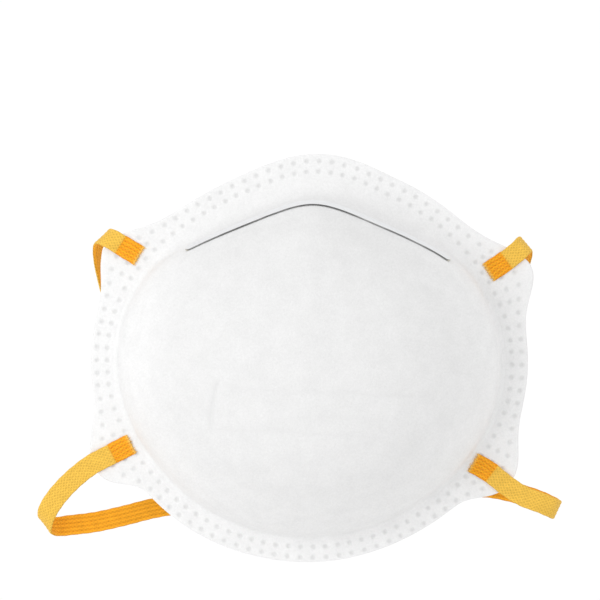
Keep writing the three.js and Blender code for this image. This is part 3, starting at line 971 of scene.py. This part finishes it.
def aluminium():
    nodes = Nodes("clip_aluminium")
    brush = nodes.noise(1.0, 3.0, 0.6, nodes.stretched((300, 3200, 3200)))
    cut = nodes.attribute("cut")
    edge_shade_variation = nodes.span(nodes.noise(55.0, 2.0), 0.38, 0.62)
    bright = nodes.mix(brush, (0.78, 0.79, 0.80), (0.93, 0.94, 0.95))
    # the cut faces are coloured dark: partly the sheared edge's own darker tone, partly painted shadow and
    # painted reflection along the strip's edge, varying along it
    edge = nodes.mix(edge_shade_variation, (0.16, 0.16, 0.16), (0.62, 0.62, 0.62))
    nodes.colour(nodes.mix(cut, bright, edge))
    nodes.roughness(nodes.span(brush, 0.2, 0.8, 0.28, 0.46))
    nodes.set(Metallic=1.0)
    nodes.bump(brush, 0.00001)
    return nodes.material


def foam_material():
    nodes = Nodes("foam_open_cell")
    cells = nodes.add("ShaderNodeTexVoronoi", feature="SMOOTH_F1")
    cells.inputs["Scale"].default_value = 1900.0
    nodes.link(nodes.place, cells.inputs["Vector"])
    # the cells' depth, which also colours them darker in their hollows: painted shade
    depth = nodes.span(cells.outputs["Distance"], 0.1, 0.75)
    nodes.colour(nodes.mix(depth, (0.50, 0.50, 0.49), (0.74, 0.74, 0.72)))
    nodes.set(Roughness=0.95, Specular_IOR_Level=0.2)
    nodes.bump(depth, 0.00025)
    return nodes.material


def glue():
    nodes = Nodes("hot_melt_glue")
    flow = nodes.noise(500.0, 3.0)
    nodes.colour(nodes.mix(flow, (0.66, 0.63, 0.52), (0.78, 0.76, 0.66)))
    nodes.roughness(nodes.span(flow, 0.3, 0.7, 0.3, 0.5))
    nodes.bump(flow, 0.0001)
    return nodes.material


def paint(piece, material):
    piece.data.materials.clear()
    piece.data.materials.append(material)


elastic_material = elastic()
paint(upper_strap, elastic_material)
paint(lower_strap, elastic_material)
paint(cover, nonwoven(COVER_CLOTH))
paint(lining, nonwoven(LINING_CLOTH))
paint(shell, nonwoven(FELT_CLOTH))
filter_material = nonwoven(FILTER_CLOTH)
paint(web_outer, filter_material)
paint(web_inner, filter_material)
paint(clip, aluminium())
paint(foam, foam_material())
glue_material = glue()
for node in ("nose_clip_adhesive", "nose_foam_adhesive"):
    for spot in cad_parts[node].material_slots:
        spot.material = glue_material

# ---- floor and light ---------------------------------------------------------------------------------
FLOOR_LEVEL = -0.16             # metres, as are the radius and the light's place and size
FLOOR_RADIUS = 1.15
FLOOR_CORNERS = 64
FRONT_LIGHT = 0.955             # the studio's brightness in front of the mask, and behind it
BACK_LIGHT = 1.02
KEY_PLACE = (-0.38, -0.60, 0.05)
KEY_SIZE = 0.5
KEY_WATTS = 1.15


def make_floor():
    count = FLOOR_CORNERS
    turn = np.arange(count) * 2 * math.pi / count
    ring = np.column_stack([np.cos(turn), np.sin(turn), 0 * turn]) * FLOOR_RADIUS / MM
    points = np.vstack([ring, ring * 0.1, [[0, 0, 0]]]) + np.array([0, 0, FLOOR_LEVEL / MM])
    floor = new_mesh("floor", points, ring_faces([count, count, 1]))
    nodes = Nodes("floor_pale")
    grain = nodes.noise(3.0, 2.0)
    nodes.colour(nodes.mix(grain, (0.90, 0.90, 0.90), (0.93, 0.93, 0.93)))
    nodes.set(Roughness=0.9)
    paint(floor, nodes.material)


def soft_light(name, place, target, size, watts):
    data = bpy.data.lights.new(name, "AREA")
    data.shape = "DISK"
    data.size = size
    data.energy = watts
    light = bpy.data.objects.new(name, data)
    light.location = place
    aim = Vector(target) - light.location
    light.rotation_mode = "QUATERNION"
    light.rotation_quaternion = aim.to_track_quat("-Z", "Y")
    bpy.context.scene.collection.objects.link(light)


def make_light():
    world = bpy.data.worlds.new("white_studio")
    world.use_nodes = True
    tree = world.node_tree
    direction = tree.nodes.new("ShaderNodeSeparateXYZ")
    tree.links.new(tree.nodes.new("ShaderNodeTexCoord").outputs["Generated"], direction.inputs[0])
    strength = tree.nodes.new("ShaderNodeMapRange")
    for socket, number in zip(strength.inputs[1:5], (-0.2, 0.7, FRONT_LIGHT, BACK_LIGHT)):
        socket.default_value = number
    tree.links.new(direction.outputs["Y"], strength.inputs[0])
    tree.nodes["Background"].inputs["Color"].default_value = (1, 1, 1, 1)
    tree.links.new(strength.outputs[0], tree.nodes["Background"].inputs["Strength"])
    bpy.context.scene.world = world
    soft_light("key", KEY_PLACE, (0, 0, 0), KEY_SIZE, KEY_WATTS)


make_floor()
make_light()
bpy.context.scene.view_settings.view_transform = "Standard"
